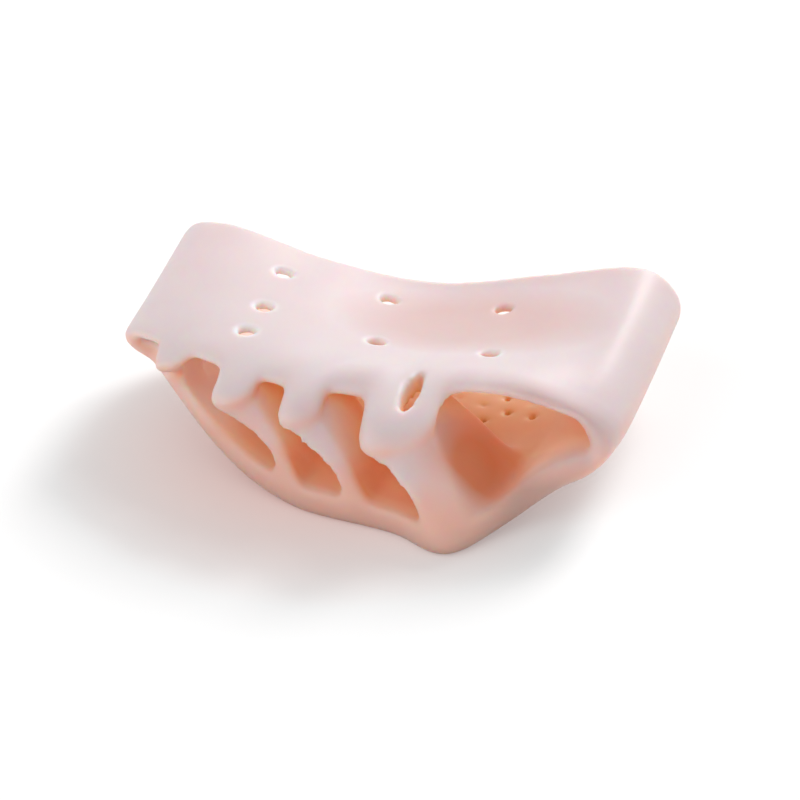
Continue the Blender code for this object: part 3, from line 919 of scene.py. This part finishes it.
    def build(self, finish: SiliconeFinish) -> bpy.types.Object:
        """Make the sleeve as one moulded piece.

        Args:
            finish: The silicone that it is moulded in.

        Returns:
            The dressed object, standing for its CAD solid.
        """
        skin = self.mould()
        openness, depth = self.measure_light(skin)
        places = np.array([vertex.co for vertex in skin.vertices]) / MM
        light_paint = self.light_paint(places)
        # Painted light: the little toe's side is painted paler and more open, as if more light came in there.
        inner = fade(openness, *self.sheltered_side) * light_paint["side"]
        openness = np.maximum(openness, self.side_light * light_paint["side"])
        # Painted warmth where the wall is thick, standing in for light scattered through the silicone, kept
        # pale on high upward faces where light falls on top, and left out where the surface is sheltered, in
        # the slit and on the little toe's inner side.
        upward = np.array([vertex.normal.z for vertex in skin.vertices])
        wall = fade(depth, *self.painted_warmth_depths)
        wall *= 1.0 - fade(places[:, 2], *self.nose_heights) * fade(upward, 0.0, self.pale_slope)
        wall *= fade(openness, 0.0, self.open_enough) * (1.0 - light_paint["slit"]) * (1.0 - inner)
        layers = {"openness": openness, "wall": wall, "root": np.maximum(light_paint["root"], light_paint["painted_bed_shade"]),
                  "side": light_paint["last_toe"] * inner}
        layers |= {name: light_paint[name] for name in ("basin", "vent", "painted_lip_shade", "painted_sole_rim_shade")}
        for name, values in layers.items():
            layer = skin.attributes.new(name, "FLOAT", "POINT")
            layer.data.foreach_set("value", values.astype(np.float32))
        skin.polygons.foreach_set("use_smooth", [True] * len(skin.polygons))
        skin.materials.clear()
        skin.materials.append(finish.build())
        sleeve = bpy.data.objects.new("moulded_sleeve", skin)
        bpy.context.scene.collection.objects.link(sleeve)
        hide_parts("toe_separator")
        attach(sleeve, "root")
        LOG.info("%s: %d vertices", sleeve.name, len(skin.vertices))
        return sleeve


@dataclass
class Studio:
    """The white floor, the soft lights and the camera."""

    floor_size: float = 6000.0
    eye: tuple[float, float, float] = (69.7, -331.7, 205.0)
    aim: tuple[float, float, float] = (-0.56, -1.3, 10.0)
    lens: float = 105.0
    sensor: float = 36.0
    near_clip: float = 10.0
    key_place: tuple[float, float, float] = (600.0, 1740.0, 1290.0)
    key_size: float = 1020.0
    key_power: float = 32.0
    floor_key_place: tuple[float, float, float] = (640.0, 1860.0, 1090.0)
    floor_key_size: float = 620.0
    floor_key_power: float = 64.0
    fill_place: tuple[float, float, float] = (-420.0, -420.0, 480.0)
    fill_size: float = 600.0
    fill_power: float = 1.2
    sky: float = 0.46
    diffuse_bounces: int = 16
    all_bounces: int = 24

    def build_floor(self, finish: PaperFinish) -> bpy.types.Object:
        """Lay the paper under the sleeve, flat and far to all sides.

        Args:
            finish: The paper's finish.

        Returns:
            The floor, which isn't part of the object.
        """
        sheet = bmesh.new()
        half = self.floor_size / 2
        bmesh.ops.create_grid(sheet, x_segments=1, y_segments=1, size=half * MM)
        mesh = bpy.data.meshes.new("studio_floor")
        sheet.to_mesh(mesh)
        sheet.free()
        mesh.materials.append(finish.build())
        floor = bpy.data.objects.new("studio_floor", mesh)
        bpy.context.scene.collection.objects.link(floor)
        LOG.info("%s: laid", floor.name)
        return floor

    def aim_at(self, obj: bpy.types.Object, place: tuple[float, float, float],
               aim: tuple[float, float, float]) -> None:
        """Put a lamp or camera in its place and turn it to a point."""
        obj.location = Vector(place) * MM
        obj.rotation_euler = (Vector(aim) - Vector(place)).to_track_quat("-Z", "Y").to_euler()

    def build_lamp(self, name: str, place: tuple[float, float, float], size: float,
                   power: float) -> bpy.types.Object:
        """Hang a soft square lamp.

        Args:
            name: The lamp's name.
            place: Where it hangs.
            size: The length of its sides.
            power: Its power in watts.

        Returns:
            The lamp.
        """
        light = bpy.data.lights.new(name, "AREA")
        light.size = size * MM
        light.energy = power
        lamp = bpy.data.objects.new(name, light)
        bpy.context.scene.collection.objects.link(lamp)
        self.aim_at(lamp, place, self.aim)
        LOG.info("%s: %.1f W", name, power)
        return lamp

    def build_sky(self) -> None:
        """Light the scene evenly from all round, and show plain white behind it."""
        world = bpy.data.worlds.new("studio_air")
        world.use_nodes = True
        world.node_tree.nodes.clear()
        level = add_node(world, "ShaderNodeMapRange", {"To Min": self.sky, "To Max": 1.0},
                         {"Value": seen_directly(world)})
        air = add_node(world, "ShaderNodeBackground", {"Color": (1.0, 1.0, 1.0, 1.0)},
                       {"Strength": level.outputs["Result"]})
        add_node(world, "ShaderNodeOutputWorld", links={"Surface": air.outputs["Background"]})
        bpy.context.scene.world = world

    def build_camera(self) -> None:
        """Set the camera at the photograph's angle."""
        data = bpy.data.cameras.new("camera")
        data.lens = self.lens
        data.sensor_width = self.sensor
        data.clip_start = self.near_clip * MM
        camera = bpy.data.objects.new("camera", data)
        bpy.context.scene.collection.objects.link(camera)
        self.aim_at(camera, self.eye, self.aim)
        bpy.context.scene.camera = camera

    def build(self) -> None:
        """Set up the whole studio, where one lamp lights only the floor to deepen the shadow there."""
        floor = self.build_floor(PaperFinish())
        self.build_lamp("key_softbox", self.key_place, self.key_size, self.key_power)
        floor_key = self.build_lamp("floor_softbox", self.floor_key_place, self.floor_key_size,
                                    self.floor_key_power)
        lit = bpy.data.collections.new("lit_by_floor_softbox")
        lit.objects.link(floor)
        floor_key.light_linking.receiver_collection = lit
        self.build_lamp("fill_softbox", self.fill_place, self.fill_size, self.fill_power)
        self.build_sky()
        self.build_camera()
        bpy.context.scene.view_settings.view_transform = "Standard"
        # The orange inside comes partly from light that goes from wall to wall many times, and partly from
        # orange shade painted into the silicone's colour.
        bpy.context.scene.cycles.diffuse_bounces = self.diffuse_bounces
        bpy.context.scene.cycles.max_bounces = self.all_bounces


def main() -> None:
    """Build the sleeve and the studio round it."""
    logging.basicConfig(level=logging.INFO, format="%(name)s: %(message)s")
    MouldedSleeve().build(SiliconeFinish())
    Studio().build()


if __name__ == "__main__":
    main()
